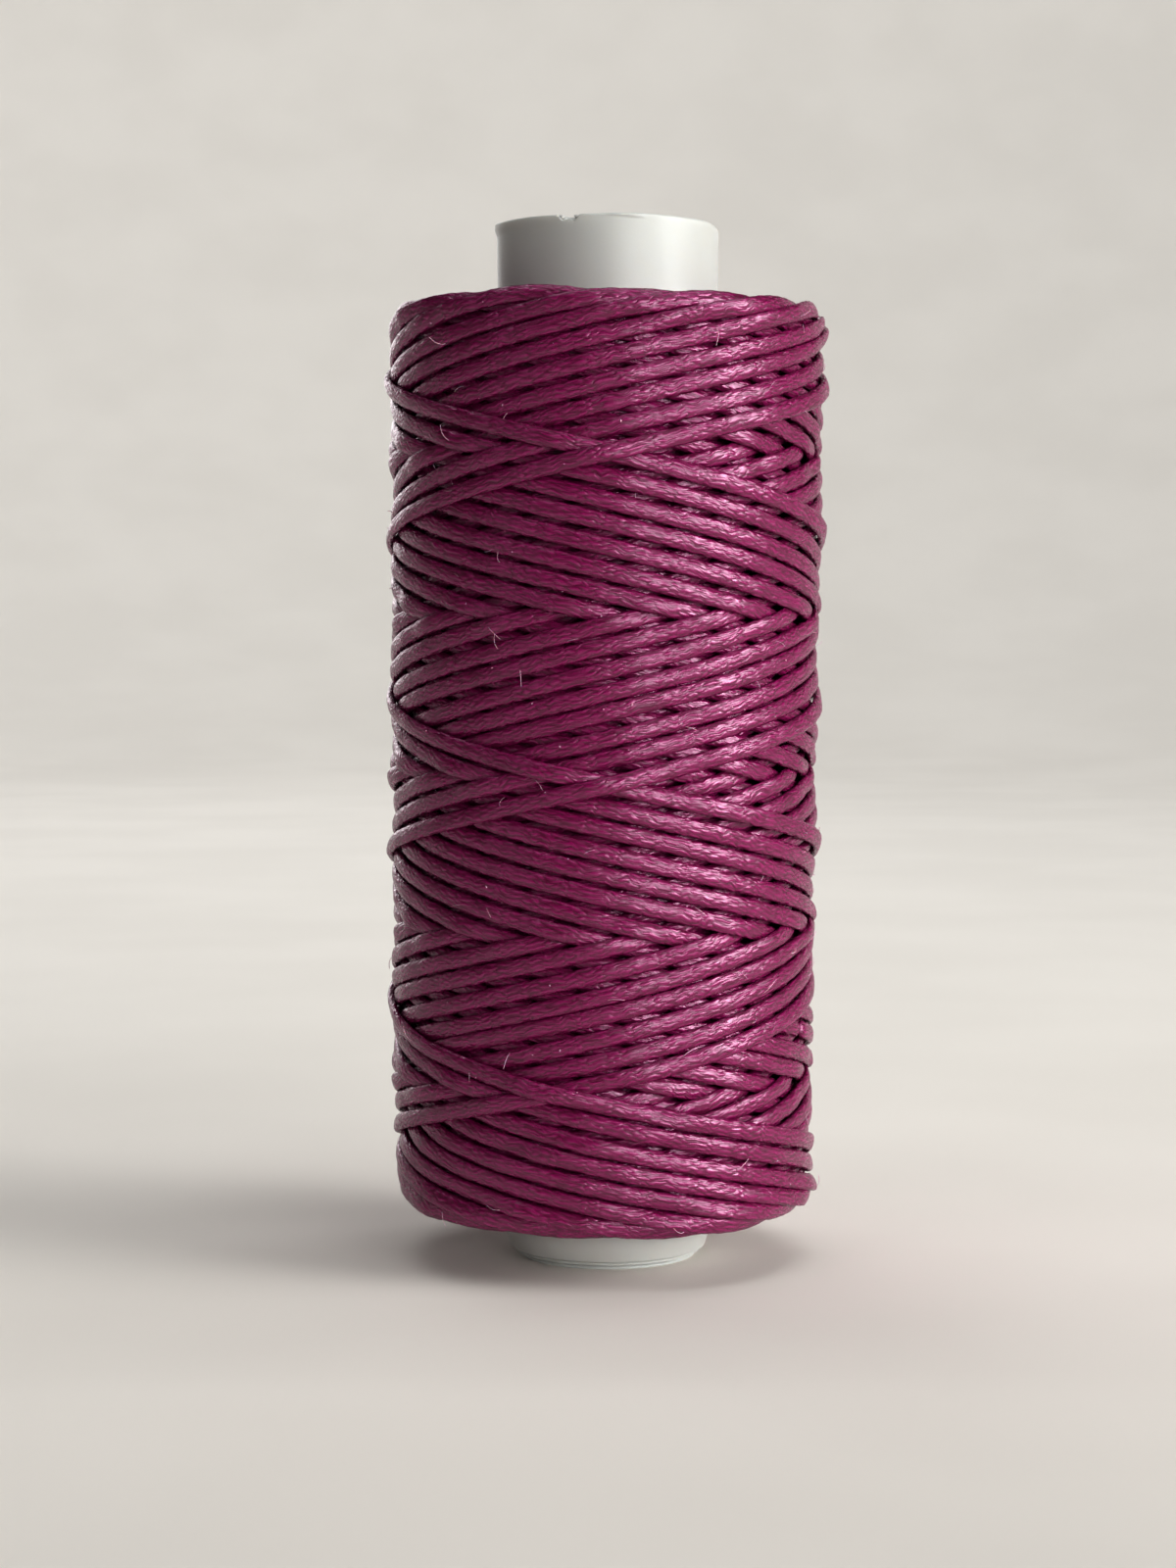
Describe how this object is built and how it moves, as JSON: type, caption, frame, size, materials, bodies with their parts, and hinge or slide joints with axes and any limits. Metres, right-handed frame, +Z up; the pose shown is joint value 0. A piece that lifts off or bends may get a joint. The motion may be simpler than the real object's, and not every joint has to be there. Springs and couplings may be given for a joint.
{
  "type": "waxed thread spool",
  "caption": "Small spool of flat waxed sewing thread, cross-wound in a straight package on a plain plastic core tube that stands out at both ends.",
  "frame": {"origin": "on the tube's axis, at the surface that the foot stands on", "axes": "+Z up along the tube's axis, from the ringed foot to the plain open rim; X and Y are free, because the spool is round"},
  "size_m": [0.021, 0.021, 0.05],
  "materials": {
    "tube_plastic": "satin, slightly translucent off-white moulded plastic",
    "waxed_thread": "flat braided thread, plum, with a soft waxy shine"
  },
  "bodies": {
    "root": {"core_tube": "tube_plastic", "inner_thread_layers": "waxed_thread", "outer_thread_layers": "waxed_thread"}
  },
  "joints": []
}
